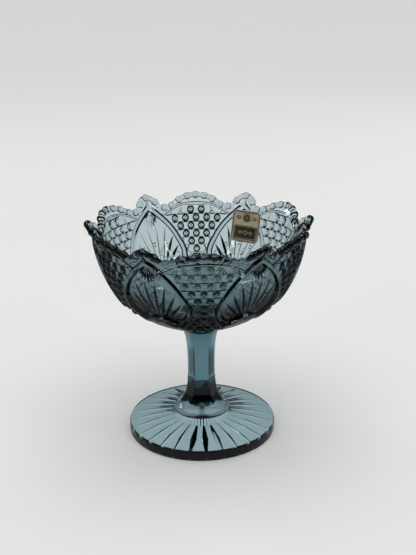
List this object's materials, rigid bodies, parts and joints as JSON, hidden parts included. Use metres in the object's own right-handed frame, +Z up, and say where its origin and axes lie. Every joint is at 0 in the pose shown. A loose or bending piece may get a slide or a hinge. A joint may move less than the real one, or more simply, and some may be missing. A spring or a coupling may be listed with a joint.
{
  "type": "footed compote bowl",
  "caption": "Pressed blue-grey glass compote: a scalloped, beaded bowl with button panels and fan medallions on a six-sided stem and a rayed round foot.",
  "frame": {"origin": "centre of the foot's resting ring, on the table", "axes": "+Z up along the bowl's axis, -Y through the middle of the near button panel, +X to the right"},
  "size_m": [0.1616, 0.1604, 0.1617],
  "materials": {
    "bowl_glass": "fire-polished",
    "stem_glass": "fire-polished",
    "label_paper": "varnished paper",
    "label_ink": "varnished ink"
  },
  "bodies": {
    "root": {"bowl": "bowl_glass", "rim_beads": "bowl_glass", "buttons": "bowl_glass", "panel_arches": "bowl_glass", "medallion_borders": "bowl_glass", "medallion_fans": "bowl_glass", "seat": "stem_glass", "stem": "stem_glass", "collar": "stem_glass", "foot": "stem_glass", "label": "label_paper", "label_field": "label_ink"}
  },
  "joints": []
}
